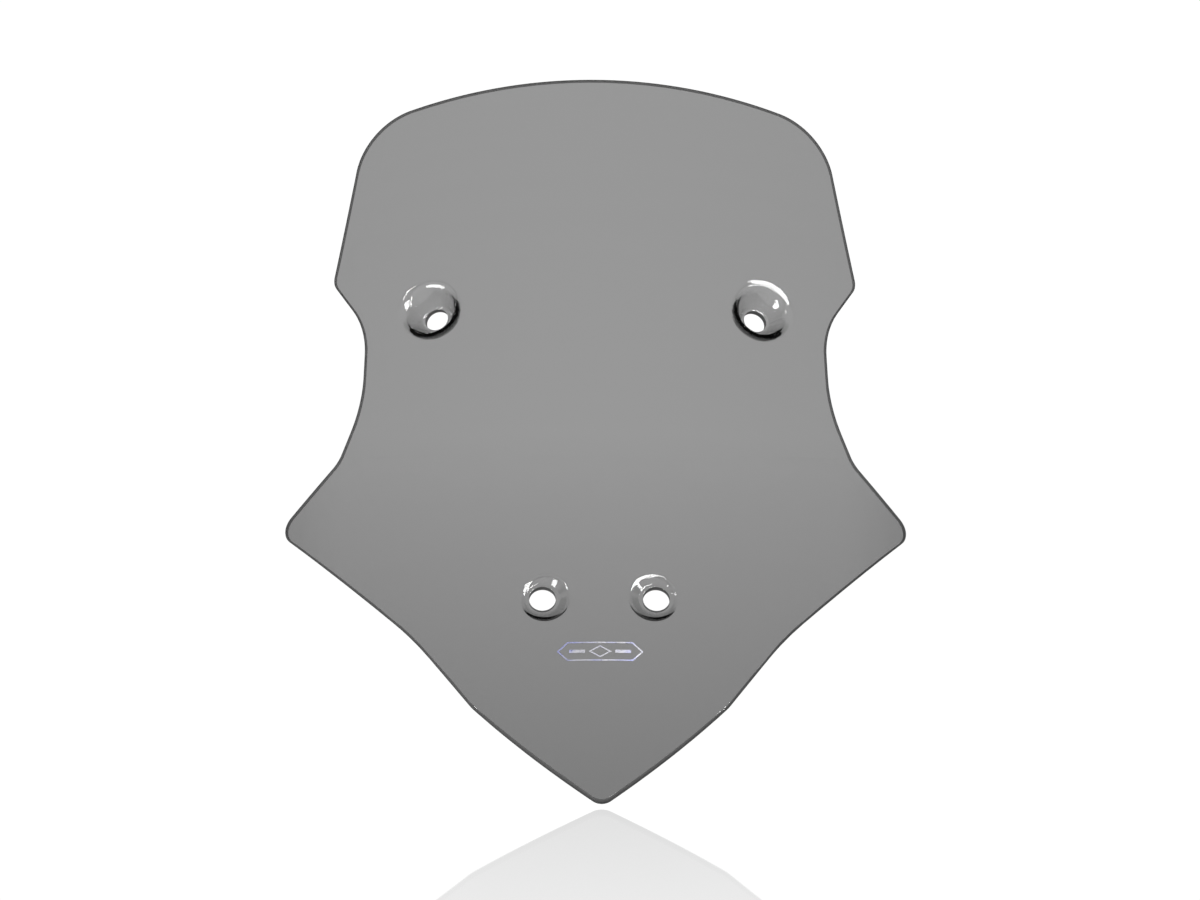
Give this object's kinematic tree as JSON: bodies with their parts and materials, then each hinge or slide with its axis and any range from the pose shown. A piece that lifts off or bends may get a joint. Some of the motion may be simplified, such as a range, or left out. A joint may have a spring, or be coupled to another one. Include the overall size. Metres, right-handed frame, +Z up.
{
  "type": "motorcycle windshield screen",
  "caption": "Smoked transparent windshield screen for a motorcycle: a curved, waisted sheet with flared wings, a pointed foot and open fixing holes in formed pockets, plus a foil emblem.",
  "frame": {"origin": "midway between the two lower holes, in the plane of their pocket floors' front faces", "axes": "+X to the right of someone facing the screen's front, +Y towards the rider, +Z up; the screen leans back as it does on the motorcycle, so the lower holes' axes point 34 degrees above -Y"},
  "size_m": [0.389, 0.267, 0.4415],
  "materials": {
    "smoked_acrylic": "polished, transparent, neutral grey tint",
    "foil": "silvery foil with a faint lavender sheen"
  },
  "bodies": {
    "root": {"screen_panel": "smoked_acrylic", "emblem_border": "foil", "emblem_diamond": "foil", "emblem_bar_left": "foil", "emblem_bar_right": "foil"}
  },
  "joints": []
}
